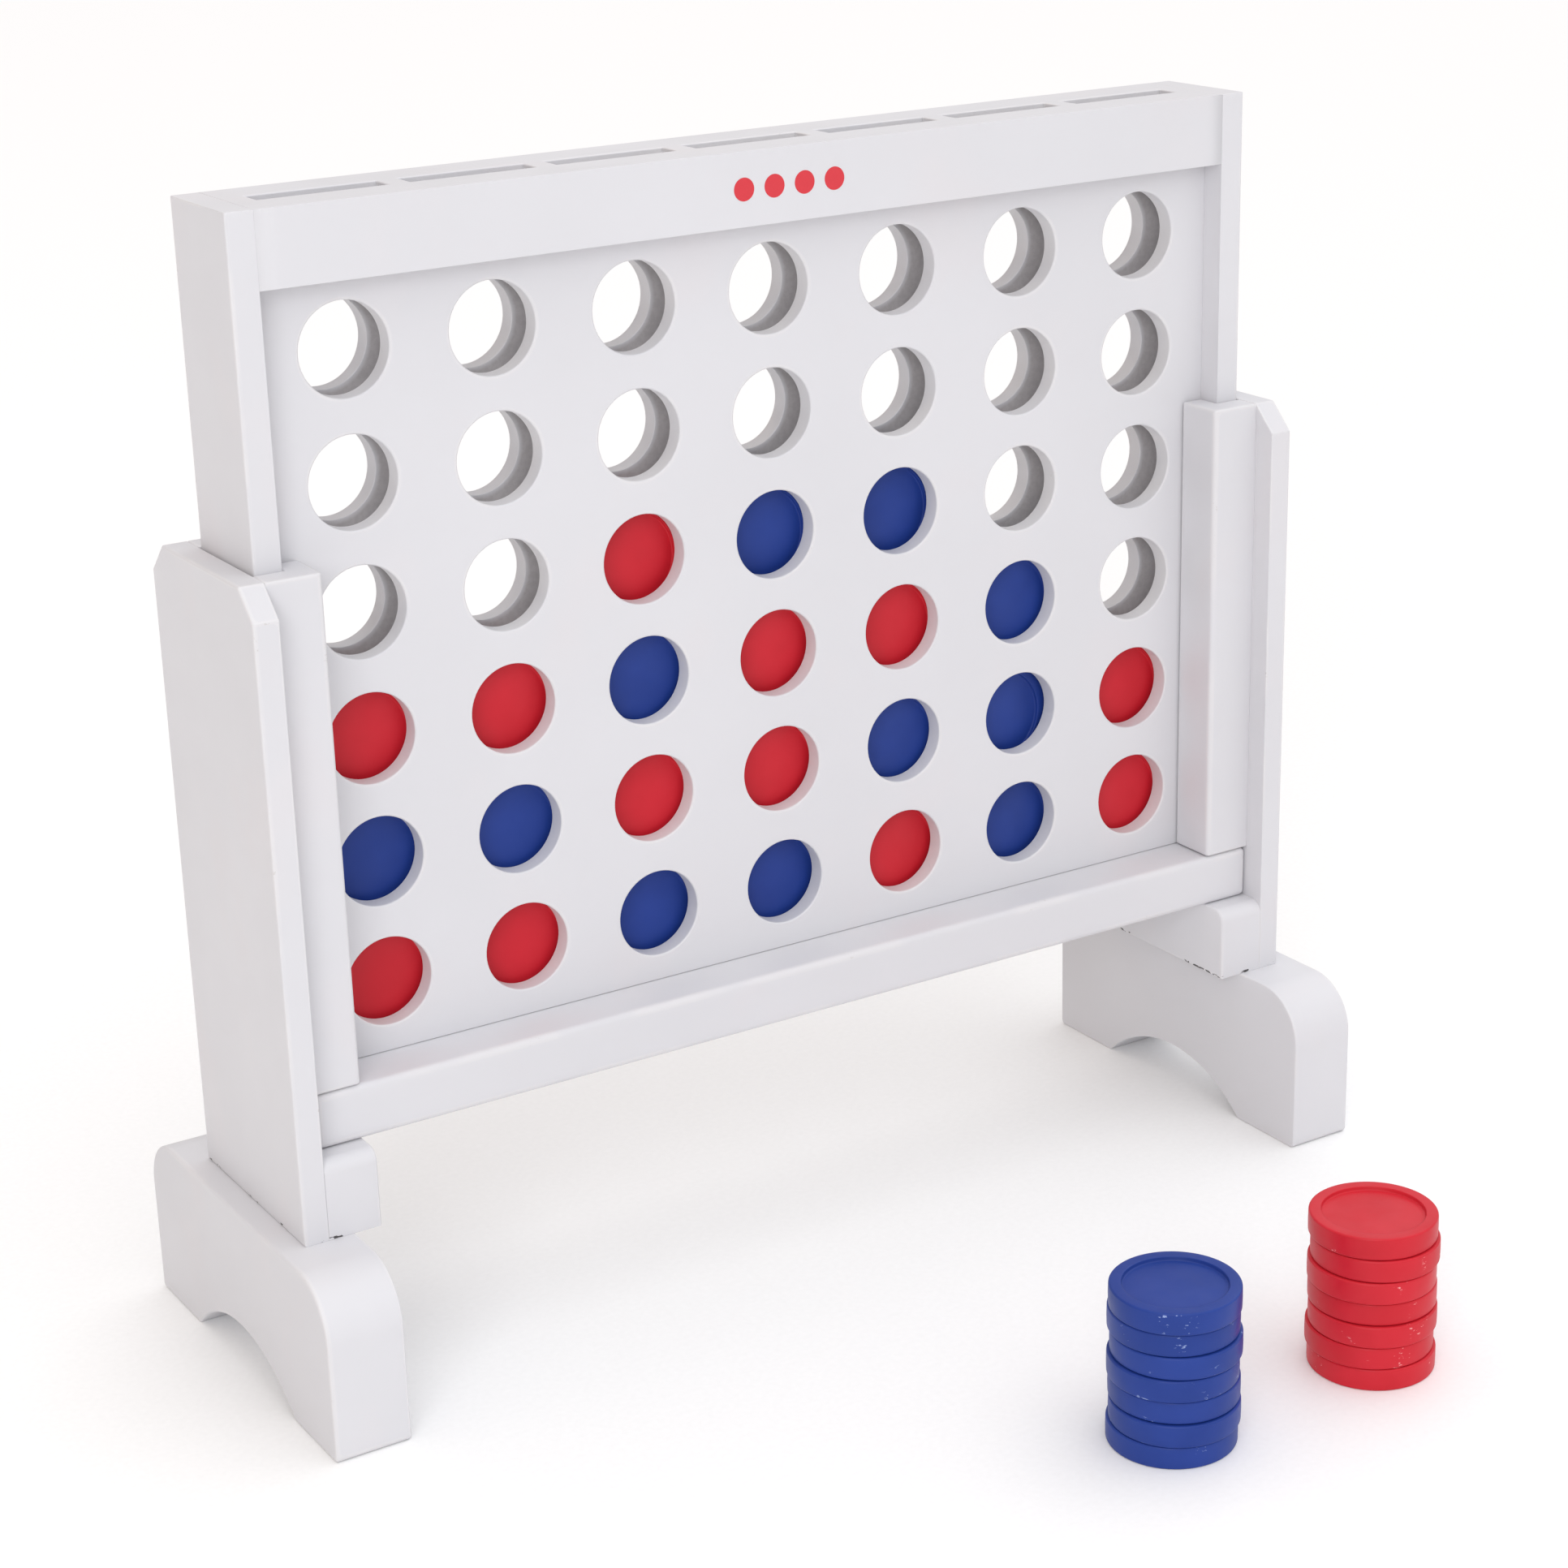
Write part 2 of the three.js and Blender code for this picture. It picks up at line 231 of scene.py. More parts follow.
def paint_material(name, grain_scale):
    """Satin white paint over planed wood: faint grain, roller texture, faint blotches, a painted highlight
    along the rounded edges, and cracks where the legs stand on the feet. Its attributes are "edge", "wear",
    and a third that marks the faces inside the board for painted shade."""
    g = Graph(name)
    place = g.node("ShaderNodeTexCoord").outputs["Object"]
    mottle = g.noise(place, 7.0, 3.0)
    blush = g.noise(g.stretched(place, (1.0, 1.3, 0.8)), 15.0, 3.0)
    colour = g.blend(g.ramp(mottle, 0.35, 0.65), *PAINT_TONES)
    colour = g.blend(g.ramp(blush, 0.52, 0.72, 0.0, 0.6), colour, PAINT_BLUSH)
    grain = g.noise(g.stretched(place, grain_scale), 10.0, 4.0, 0.6)
    roller = g.noise(place, 420.0, 2.0)
    level = g.noise(place, 50.0, 1.0)
    edge = g.attribute("edge")
    drift = g.noise(place, 24.0, 1.0)
    # Painted highlight: lighter in patches along the rounded edges and the hole walls
    edge_highlight = g.math("MULTIPLY", g.ramp(edge, 0.5, 1.0, 0.0, 0.6), g.ramp(drift, 0.4, 0.6))
    colour = g.blend(edge_highlight, colour, PAINT_EDGE_HIGHLIGHT)
    flake = g.noise(place, 300.0, 3.0, 0.6)
    patch = g.math("MULTIPLY", g.ramp(drift, 0.63, 0.68), g.ramp(flake, 0.63, 0.67))
    reach = g.math("MULTIPLY", g.ramp(edge, 0.6, 1.0), g.attribute("wear"))
    chip = g.math("MULTIPLY", reach, patch, clamp=True)
    colour = g.blend(chip, colour, PAINT_CHIPPED)
    height = g.node("ShaderNodeSeparateXYZ", Vector=place).outputs["Z"]
    seam = g.math("COMPARE", height, JOINT_TOP + SEAM_RISE, SEAM_REACH / 2)
    split = g.noise(g.stretched(place, (1.0, 1.0, 1.6)), 260.0, 2.0)
    crack = g.math("MULTIPLY", g.ramp(split, 0.55, 0.58), g.ramp(g.noise(place, 42.0, 1.0), 0.50, 0.55))
    crack = g.math("MULTIPLY", crack, g.math("MULTIPLY", seam, g.attribute("wear")))
    crack = g.math("MULTIPLY", crack, CRACK_STRENGTH, clamp=True)
    colour = g.blend(crack, colour, PAINT_CRACKED)
    # Painted shade: the faces inside the board are coloured dark grey
    colour = g.blend(g.attribute("cavity_shade"), colour, g.blend(g.ramp(flake, 0.4, 0.6), *CAVITY_SHADE_TONES))
    normal = g.bumped(grain, 0.07 * MM)
    normal = g.bumped(level, 0.05 * MM, normal)
    normal = g.bumped(roller, 0.008 * MM, normal)
    roughness = g.ramp(g.noise(place, 30.0, 3.0), 0.3, 0.7, 0.42, 0.52)
    return g.finish(Base_Color=colour, Roughness=roughness, Normal=normal, Specular_IOR_Level=0.35)


def plastic_material(name, deep, bright, scuffed):
    """Moulded plastic with a fine matt texture, slow colour drift, and small scuffs round the side."""
    g = Graph(name)
    place = g.node("ShaderNodeTexCoord").outputs["Object"]
    draw = g.math("MULTIPLY", g.node("ShaderNodeObjectInfo").outputs["Random"], 40.0)
    cloud = g.noise(place, 28.0, 3.0, offset=draw)
    colour = g.blend(g.ramp(cloud, 0.3, 0.7), deep, bright)
    scratch = g.noise(g.stretched(place, (1.0, 1.0, 2.2)), 300.0, 3.0, 0.6, offset=draw)
    drift = g.noise(place, 55.0, 1.0, offset=draw)
    scuff = g.math("MULTIPLY", g.ramp(scratch, 0.60, 0.66), g.ramp(drift, 0.60, 0.66))
    scuff = g.math("MULTIPLY", scuff, g.attribute("edge"), clamp=True)
    colour = g.blend(g.math("MULTIPLY", scuff, 0.75), colour, scuffed)
    normal = g.bumped(g.noise(place, 900.0, 2.0), 0.012 * MM)
    normal = g.bumped(g.noise(place, 70.0, 2.0, offset=draw), 0.05 * MM, normal)
    roughness = g.ramp(g.noise(place, 60.0, 3.0, offset=draw), 0.3, 0.7, 0.36, 0.47)
    return g.finish(Base_Color=colour, Roughness=roughness, Normal=normal, Specular_IOR_Level=0.25)


def plain_material(name, colour, roughness):
    g = Graph(name)
    place = g.node("ShaderNodeTexCoord").outputs["Object"]
    tone = g.blend(g.noise(place, 300.0, 3.0), colour, tuple(0.94 * c for c in colour[:3]) + (1.0,))
    return g.finish(Base_Color=tone, Roughness=roughness)


# The grain runs along the axis whose scale is small.
PAINT = {
    "X": paint_material("paint_grain_x", (0.5, 14.0, 14.0)),
    "Y": paint_material("paint_grain_y", (14.0, 0.5, 14.0)),
    "Z": paint_material("paint_grain_z", (14.0, 14.0, 0.5)),
}
PLASTIC = {
    "red": plastic_material(
        "plastic_red",
        deep=rgb(0.56, 0.014, 0.026),
        bright=rgb(0.62, 0.018, 0.033),
        scuffed=rgb(0.90, 0.45, 0.45),
    ),
    "blue": plastic_material(
        "plastic_blue",
        deep=rgb(0.013, 0.040, 0.235),
        bright=rgb(0.018, 0.050, 0.28),
        scuffed=rgb(0.35, 0.45, 0.75),
    ),
}


# ---- Meshes ----
def put_in_scene(name, data):
    made = bpy.data.objects.new(name, data)
    bpy.context.scene.collection.objects.link(made)
    return made


def skin(bm, rows):
    """Faces from each closed row of points to the next."""
    for row, following in zip(rows, rows[1:]):
        for i in range(len(row)):
            j = (i + 1) % len(row)
            bm.faces.new((row[i], row[j], following[j], following[i]))


def finished_mesh(name, bm, material):
    """The mesh of bm, with welded points, outward faces and smooth shading. bm is used up."""
    bmesh.ops.remove_doubles(bm, verts=bm.verts, dist=WELD)
    bmesh.ops.recalc_face_normals(bm, faces=bm.faces)
    mesh = bpy.data.meshes.new(name)
    bm.to_mesh(mesh)
    bm.free()
    mesh.materials.append(material)
    mesh.polygons.foreach_set("use_smooth", [True] * len(mesh.polygons))
    return mesh


def keep_flats(piece):
    """Keep the flats flat under smooth shading."""
    piece.modifiers.new("flat_faces", "WEIGHTED_NORMAL").weight = 100


def mesh_object(name, bm, material):
    made = put_in_scene(name, finished_mesh(name, bm, material))
    keep_flats(made)
    return made


def set_evenly(piece, name, amount):
    values = piece.data.attributes.new(name, "FLOAT", "POINT")
    values.data.foreach_set("value", [amount] * len(piece.data.vertices))


def finish_piece(piece, node, body, wear=0.0):
    set_evenly(piece, "wear", wear)
    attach(piece, body)
    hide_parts(node)


class Axes:
    """A plane (u, v) set in the frame, with w square to it."""

    def __init__(self, u, v, origin=(0, 0, 0)):
        self.u = Vector(u)
        self.v = Vector(v)
        self.w = self.u.cross(self.v)
        self.origin = Vector(origin)

    def place(self, u, v, w):
        return self.origin + self.u * u + self.v * v + self.w * w


ALONG_X = Axes((0, 1, 0), (0, 0, 1), (0, BOARD_Y, 0))
ALONG_Z = Axes((1, 0, 0), (0, 1, 0), (0, BOARD_Y, 0))
FACING = Axes((1, 0, 0), (0, 0, 1), (0, BOARD_Y, 0))  # w runs towards the front


def turned(vector, angle):
    c, s = math.cos(angle), math.sin(angle)
    return np.array((c * vector[0] - s * vector[1], s * vector[0] + c * vector[1]))


def outline_samples(corners):
    """Points round an anticlockwise outline of (u, v, radius) corners, as (inset to point, edge weight)."""
    places = [np.array(c[:2], float) for c in corners]
    count = len(corners)
    bends = []
    for i, (_, _, radius) in enumerate(corners):
        t0 = places[i] - places[i - 1]
        t0 = t0 / np.linalg.norm(t0)
        t1 = places[(i + 1) % count] - places[i]
        t1 = t1 / np.linalg.norm(t1)
        turn = math.atan2(t0[0] * t1[1] - t0[1] * t1[0], float(t0 @ t1))
        bends.append((t0, t1, turn, radius * math.tan(abs(turn) / 2)))
    samples = []

    def straight(point, normal):
        samples.append((lambda inset: point - normal * inset, 0.0))

    def arc(corner, miter, centre, signed, normal, weight):
        def at(inset):
            if 0 < signed <= inset:
                return corner + miter * inset
            return centre + normal * (signed - inset)

        samples.append((at, weight))

    for i, (t0, t1, turn, reach) in enumerate(bends):
        corner = places[i]
        n0 = np.array((t0[1], -t0[0]))
        n1 = np.array((t1[1], -t1[0]))
        miter = -(n0 + n1) / (1 + float(n0 @ n1))
        radius = corners[i][2]
        signed = math.copysign(radius, turn)
        sharp = radius < SOFT_RADIUS
        worn = sharp and radius > BUTT_ARRIS
        steps = ROUND_STEPS if sharp else math.ceil(abs(turn) / CURVE_STEP)
        following = (i + 1) % count
        room_before = np.linalg.norm(corner - places[i - 1]) - reach - bends[i - 1][3]
        room_after = np.linalg.norm(places[following] - corner) - reach - bends[following][3]
        if worn and room_before > GUARD_ROOM:
            straight(corner - t0 * (reach + GUARD), n0)
        for k in range(steps + 1):
            normal = turned(n0, turn * k / steps)
            arc(corner, miter, corner + miter * signed, signed, normal, 1.0 if worn else 0.0)
        if worn and room_after > GUARD_ROOM:
            straight(corner + t1 * (reach + GUARD), n1)
    return samples


def quarter(radius):
    """A quarter round from a flat face to its side, as (depth below the face, distance in from the side)."""
    points = []
    for k in range(ROUND_STEPS + 1):
        angle = math.pi / 2 * (1 - k / ROUND_STEPS)
        points.append((radius * (1 - math.sin(angle)), radius * (1 - math.cos(angle))))
    return points


def end_rings(position, inwards, radius):
    """The rings of a rounded end, from its flat face to its side, as (w, inset, weight or None)."""
    rings = [(position, radius + CAP_GUARD, 0.0)]
    rings += [(position + inwards * depth, inset, 1.0) for depth, inset in quarter(radius)]
    rings.append((position + inwards * (radius + GUARD), 0.0, None))
    return rings


def prism(name, corners, axes, low, high, material, low_arris=ARRIS, high_arris=ARRIS):
    """A closed prism over an outline, with its end edges rounded."""
    samples = outline_samples(corners)
    bm = bmesh.new()
    edge = bm.verts.layers.float.new("edge")
    rows = []
    for w, inset, weight in end_rings(low, 1, low_arris) + end_rings(high, -1, high_arris)[::-1]:
        row = []
        for at, own_weight in samples:
            vertex = bm.verts.new(axes.place(*at(inset), w))
            vertex[edge] = own_weight if weight is None else weight
            row.append(vertex)
        rows.append(row)
    skin(bm, rows)
    bm.faces.new(rows[0][::-1])
    bm.faces.new(rows[-1])
    return mesh_object(name, bm, material)


# ---- Plates with a hole in each cell of a grid ----
def box_corners(low, high):
    return [low, (high[0], low[1]), high, (low[0], high[1])]


def around(corners, count):
    """Points round an outline, count of them from each corner to the next."""
    points = []
    for start, end in zip(corners, corners[1:] + corners[:1]):
        for share in (k / count for k in range(count)):
            points.append(tuple(a + (b - a) * share for a, b in zip(start, end)))
    return points


def outward(point, low, high):
    """The direction out of a box at a point of its outline, diagonal at a corner."""
    return tuple((at == most) - (at == least) for at, least, most in zip(point, low, high))


def circle_hole(radius, count):
    """The outline of a round hole, with count points on each quarter, as (point, outward normal)."""
    outline = []
    for k in range(4 * count):
        angle = math.radians(-135) + 2 * math.pi * k / (4 * count)
        normal = (math.cos(angle), math.sin(angle))
        outline.append(((radius * normal[0], radius * normal[1]), normal))
    return outline


def slot_hole(length, width, count):
    """The outline of a slot, with count points on each side, as (point, outward normal)."""
    low, high = (-length / 2, -width / 2), (length / 2, width / 2)
    return [(point, outward(point, low, high)) for point in around(box_corners(low, high), count)]


def spread(outline, distance, centre=(0, 0)):
    """The points of an outline, moved along their normals and set round a centre."""
    return [tuple(c + p + n * distance for c, p, n in zip(centre, *pair)) for pair in outline]


def grid_lines(low, high, centres):
    return [low] + [(a + b) / 2 for a, b in zip(centres, centres[1:])] + [high]


def holed_plate(
    name, u_range, v_range, u_centres, v_centres, hole, axes, w0, w1, arris0, arris1, material, shaded_face=None
):
    """A plate from w0 to w1 with the same hole round each centre. arris0 and arris1 are the roundings of the
    hole at w0 and w1. The flat at the w given last faces the inside of the board and gets painted shade."""
    bm = bmesh.new()
    edge = bm.verts.layers.float.new("edge")
    cavity_shade = bm.verts.layers.float.new("cavity_shade")

    def strip(rings):
        rows = []
        for points, w, weight in rings:
            row = []
            for u, v in points:
                vertex = bm.verts.new(axes.place(u, v, w))
                vertex[edge] = weight
                # marks the flat that faces into the board for painted shade
                vertex[cavity_shade] = 1.0 if w == shaded_face and not weight else 0.0
                row.append(vertex)
            rows.append(row)
        skin(bm, rows)

    def wall(outline_at, low_arris, high_arris, weight):
        """The rings of a rounded wall from w1 to w0, where outline_at(distance) is off the wall."""
        rings = [(outline_at(out), w1 - depth, weight) for depth, out in quarter(high_arris)]
        return rings + [(outline_at(out), w0 + depth, weight) for depth, out in quarter(low_arris)[::-1]]

    us = grid_lines(u_range[0] + BUTT_ARRIS, u_range[1] - BUTT_ARRIS, u_centres)
    vs = grid_lines(v_range[0] + BUTT_ARRIS, v_range[1] - BUTT_ARRIS, v_centres)
    count = len(hole) // 4
    for i, u_centre in enumerate(u_centres):
        for j, v_centre in enumerate(v_centres):
            cell = around(box_corners((us[i], vs[j]), (us[i + 1], vs[j + 1])), count)

            def hole_at(distance):
                return spread(hole, distance, (u_centre, v_centre))

            upper_face = [(cell, w1, 0.0), (hole_at(arris1 + GUARD), w1, 0.0)]
            lower_face = [(hole_at(arris0 + GUARD), w0, 0.0), (cell, w0, 0.0)]
            strip(upper_face + wall(hole_at, arris0, arris1, 1.0) + lower_face)
    stops = [(u, vs[0]) for u in us[:-1]] + [(us[-1], v) for v in vs[:-1]]
    stops += [(u, vs[-1]) for u in us[:0:-1]] + [(us[0], v) for v in vs[:0:-1]]
    rim = [(point, outward(point, (us[0], vs[0]), (us[-1], vs[-1]))) for point in around(stops, count)]
    strip(wall(lambda distance: spread(rim, BUTT_ARRIS - distance), BUTT_ARRIS, BUTT_ARRIS, 0.0))
    return mesh_object(name, bm, material)


# ---- The board ----
def top_rail():
    low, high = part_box("top_rail")
    half_depth = (high.y - low.y) / 2
    piece = holed_plate(
        "rail_top",
        u_range=(low.x - TOUCH, high.x + TOUCH),
        v_range=(-half_depth, half_depth),
        u_centres=COLUMN_CENTRES,
        v_centres=[0.0],
        hole=slot_hole(SLOT_LENGTH, SLOT_WIDTH, SLOT_POINTS),
        axes=ALONG_Z,
        w0=low.z,
        w1=high.z,
        arris0=SLOT_LOWER_ARRIS,
        arris1=SLOT_UPPER_ARRIS,
        material=PAINT["X"],
    )
    finish_piece(piece, "top_rail", "board", wear=0.3)


def holed_panel(name, node):
    low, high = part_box(node)
    w0, w1 = BOARD_Y - high.y, BOARD_Y - low.y
    front = high.y < BOARD_Y
    piece = holed_plate(
        name,
        u_range=(low.x - TOUCH, high.x + TOUCH),
        v_range=(low.z, high.z + TOUCH),
        u_centres=COLUMN_CENTRES,
        v_centres=[high.z - TOP_ROW_DROP - (ROWS - 1 - j) * ROW_PITCH for j in range(ROWS)],
        hole=circle_hole(HOLE_RADIUS, HOLE_POINTS),
        axes=FACING,
        w0=w0,
        w1=w1,
        arris0=HOLE_INNER_ARRIS if front else HOLE_OUTER_ARRIS,
        arris1=HOLE_OUTER_ARRIS if front else HOLE_INNER_ARRIS,
        material=PAINT["X"],
        # the face towards the inside of the board gets painted shade
        shaded_face=w0 if front else w1,
    )
    finish_piece(piece, node, "board", wear=0.15)


def rectangle(u0, u1, v0, v1, radius):
    return [(u0, v0, radius), (u1, v0, radius), (u1, v1, radius), (u0, v1, radius)]


def mirrored(side, first, second):
    """The two as they are on the right side, and the other way round on the left."""
    return (first, second) if side > 0 else (second, first)


def united(piece, other):
    """piece with other joined on as one closed solid. other is used up."""
    piece.modifiers.clear()
    join = piece.modifiers.new("join", "BOOLEAN")
    join.operation = "UNION"
    join.solver = "EXACT"
    join.object = other
    bpy.context.view_layer.update()
    solid = bpy.data.meshes.new_from_object(piece.evaluated_get(bpy.context.evaluated_depsgraph_get()))
    piece.modifiers.clear()
    piece.data = solid
    keep_flats(piece)
    bpy.data.objects.remove(other)
    return piece


def side_rail(side, word):
    """A side rail, with the tongue between the panels that closes the end column."""
    node = f"{word}_side_rail"
    low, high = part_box(node)
    tongue_end, outer = mirrored(side, low.x, high.x)
    inner = outer - side * RAIL_WIDTH
    half_depth = (high.y - low.y) / 2
    corners = rectangle(*sorted((inner, outer)), -half_depth, half_depth, ARRIS)
    corners = [(u, v, BUTT_ARRIS if u == inner else ARRIS) for u, v, _ in corners]
    rail = prism(f"rail_{word}", corners, ALONG_Z, low.z, high.z, PAINT["Z"], BUTT_ARRIS, PAINTED_ARRIS)
    divider_low, divider_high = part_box("column_divider_1")
    half_tongue = (divider_high.y - divider_low.y) / 2
    tongue_x = sorted((tongue_end, inner + side * RAIL_WIDTH / 2))
    corners = rectangle(*tongue_x, -half_tongue, half_tongue, BUTT_ARRIS)
    bottom, top = low.z + TONGUE_LIFT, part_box("front_panel")[1].z
    tongue = prism("tongue", corners, ALONG_Z, bottom, top, PAINT["Z"], BUTT_ARRIS, BUTT_ARRIS)
    finish_piece(united(rail, tongue), node, "board", wear=0.35)


def column_dividers():
    for index in range(1, COLUMNS):
        node = f"column_divider_{index}"
        low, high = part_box(node)
        half_depth = (high.y - low.y) / 2
        corners = rectangle(low.x, high.x, -half_depth, half_depth, DIVIDER_ARRIS)
        arrises = (DIVIDER_ARRIS, DIVIDER_ARRIS)
        piece = prism(f"divider_{index}", corners, ALONG_Z, low.z, high.z, PAINT["Z"], *arrises)
        # The dividers stand inside the board and are coloured with painted shade all over
        set_evenly(piece, "cavity_shade", 1.0)
        finish_piece(piece, node, "board")


# ---- The release bar ----
def depths(low, high):
    """Where a piece's front and back are from the board's middle plane."""
    return low.y - BOARD_Y, high.y - BOARD_Y


def release_bar():
    low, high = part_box("release_bar")
    corners = rectangle(*depths(low, high), low.z, high.z, BAR_ARRIS)
    piece = prism("bar", corners, ALONG_X, low.x, high.x, PAINT["X"], BAR_ARRIS, BAR_ARRIS)
    finish_piece(piece, "release_bar", "release_bar", wear=0.3)


# ---- The legs ----
def on_plate(side, low, high):
    """The inner and outer x of a piece that is glued to its leg plate."""
    inner, outer = mirrored(side, low.x, high.x)
    return inner, outer + side * TOUCH


def leg_plate(side, word):
    node = f"{word}_leg_plate"
    low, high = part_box(node)
    y0, y1 = depths(low, high)
    corners = [
        (y0, low.z - TOUCH, BUTT_ARRIS),
        (y1, low.z - TOUCH, BUTT_ARRIS),
        (y1, high.z - PLATE_CHAMFER, ARRIS),
        (y1 - PLATE_CHAMFER, high.z, ARRIS),
        (y0 + PLATE_CHAMFER, high.z, ARRIS),
        (y0, high.z - PLATE_CHAMFER, ARRIS),
    ]
    arrises = mirrored(side, PAINTED_ARRIS, ARRIS)
    piece = prism(f"plate_{word}", corners, ALONG_X, low.x, high.x, PAINT["Z"], *arrises)
    finish_piece(piece, node, "legs", wear=0.6)


def front_batten(side, word):
    """A front batten, rebated over the board's side rail and the edge of its front panel."""
    node = f"{word}_front_batten"
    low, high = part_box(node)
    inner, outer = on_plate(side, low, high)
    rail_low, rail_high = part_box(f"{word}_side_rail")
    rail_outer = mirrored(side, rail_low.x, rail_high.x)[1]
    shoulder = rail_outer - side * (RAIL_WIDTH + RAIL_PLAY)
    over_rail = (rail_high.y - rail_low.y) / 2 + RAIL_PLAY
    over_panel = BOARD_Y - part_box("front_panel")[0].y + PANEL_PLAY
    face = BOARD_Y - low.y
    corners = [
        (inner, -face, SOFT_ARRIS),
        (inner, -over_panel, ARRIS),
        (shoulder, -over_panel, BUTT_ARRIS),
        (shoulder, -over_rail, BUTT_ARRIS),
        (outer, -over_rail, BUTT_ARRIS),
        (outer, -face, BUTT_ARRIS),
    ]
    if side > 0:
        corners.reverse()
    piece = prism(f"batten_{word}_front", corners, ALONG_Z, low.z, high.z, PAINT["Z"])
    finish_piece(piece, node, "legs", wear=0.35)


def rear_batten(side, word):
    node = f"{word}_rear_batten"
    low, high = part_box(node)
    corners = rectangle(*sorted(on_plate(side, low, high)), *depths(low, high), ARRIS)
    piece = prism(f"batten_{word}_rear", corners, ALONG_Z, low.z, high.z, PAINT["Z"])
    finish_piece(piece, node, "legs", wear=0.35)


def bracket_block(side, word):
    node = f"{word}_bracket_block"
    low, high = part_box(node)
    y0, y1 = depths(low, high)
    corners = [
        (y0, low.z - TOUCH, BUTT_ARRIS),
        (y1, low.z - TOUCH, BUTT_ARRIS),
        (y1, high.z, BLOCK_EDGE_RADIUS),
        (y0, high.z, BLOCK_EDGE_RADIUS),
    ]
    x0, x1 = sorted(on_plate(side, low, high))
    arrises = mirrored(side, ARRIS, BUTT_ARRIS)
    piece = prism(f"block_{word}", corners, ALONG_X, x0, x1, PAINT["Y"], *arrises)
    finish_piece(piece, node, "legs", wear=0.6)


def foot(side, word):
    node = f"{word}_foot"
    low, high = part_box(node)
    y0, y1 = depths(low, high)
    arch_radius = (ARCH_HALF_SPAN**2 + ARCH_RISE**2) / (2 * ARCH_RISE)
    slope = math.asin(ARCH_HALF_SPAN / arch_radius)
    apex = ARCH_HALF_SPAN * math.tan(slope)
    corners = [
        (ARCH_HALF_SPAN, low.z, ARRIS),
        (y1, low.z, FOOT_TOE_RADIUS),
        (y1, high.z, FOOT_CORNER_RADIUS),
        (y0, high.z, FOOT_CORNER_RADIUS),
        (y0, low.z, FOOT_TOE_RADIUS),
        (-ARCH_HALF_SPAN, low.z, ARRIS),
        (0.0, low.z + apex, ARCH_SHARE * arch_radius),
    ]
    arrises = mirrored(side, FOOT_INNER_ARRIS, FOOT_OUTER_ARRIS)
    piece = prism(f"foot_{word}", corners, ALONG_X, low.x, high.x, PAINT["Y"], *arrises)
    finish_piece(piece, node, "legs", wear=0.25)


# ---- Discs ----
def fillet(points, centre, radius, start, end):
    for k in range(FILLET_STEPS + 1):
        angle = math.radians(start + (end - start) * k / FILLET_STEPS)
        points.append((centre[0] + radius * math.cos(angle), centre[1] + radius * math.sin(angle)))


def disc_profile(radius, half):
    """The upper half of a disc's section, from its axis to the middle of its side, as (r, z)."""
    floor_z = half - DISC_RECESS
    lip = radius - DISC_RIM_WIDTH
    step = lip - DISC_STEP_WIDTH
    shoulder = radius - DISC_EDGE_RADIUS - DISC_CROWN
    points = [(0.0, floor_z), (step / 2, floor_z), (step - DISC_FLAT_MARGIN, floor_z)]
    fillet(points, (step, floor_z + DISC_FLOOR_FILLET), DISC_FLOOR_FILLET, 270, 340)
    fillet(points, (lip, half - DISC_LIP_RADIUS), DISC_LIP_RADIUS, 160, 90)
    points.append((radius - DISC_RIM_WIDTH / 2, half))
    fillet(points, (shoulder, half - DISC_EDGE_RADIUS), DISC_EDGE_RADIUS, 90, 0)
    points.append((radius, 0.0))
    return points


def disc_mesh(radius, half, material):
    """A disc with its axis along z, a rim and a shallow recess on both faces, and a slightly crowned side."""
    top = disc_profile(radius, half)
    bm = bmesh.new()
    edge = bm.verts.layers.float.new("edge")
    rows = []
    for r, z in top + [(r, -z) for r, z in top[-2::-1]]:
        row = []
        for k in range(DISC_SIDES):
            angle = 2 * math.pi * k / DISC_SIDES
            vertex = bm.verts.new((r * math.cos(angle), r * math.sin(angle), z))
            vertex[edge] = 1.0 if r > radius - DISC_EDGE_RADIUS else 0.0
            row.append(vertex)
        rows.append(row)
    skin(bm, rows)
    return finished_mesh("disc", bm, material)


def play_in_column(node, generator):
    """How far a disc sits from its CAD place, across its column and towards the back."""
    if node.startswith("disc_c6_r2"):
        return BESIDE_DIVIDER_SLIDE, REAR_LEAN
    if "_r4_" in node:
        return FOURTH_ROW_SLIDE, REAR_LEAN
    return generator.uniform(*SLIDE_RANGE) * MM, generator.uniform(*LEAN_RANGE) * MM


def discs():
    generator = np.random.default_rng(42)
    low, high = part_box("disc_stack_blue_1")
    radius, half = (high.y - low.y) / 2, (high.z - low.z) / 2
    meshes = {colour: disc_mesh(radius, half, material) for colour, material in PLASTIC.items()}
    for node in sorted(n for n in frame["nodes"] if n.startswith("disc_")):
        colour = "red" if "red" in node else "blue"
        piece = put_in_scene(node.replace("disc_", "piece_"), meshes[colour])
        place = Matrix.Translation(middle(node))
        if "stack" not in node:
            slide, lean = play_in_column(node, generator)
            place = Matrix.Translation((slide, lean, 0)) @ place @ Matrix.Rotation(math.pi / 2, 4, "X")
        piece.matrix_world = place
        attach(piece, node)
        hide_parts(node)


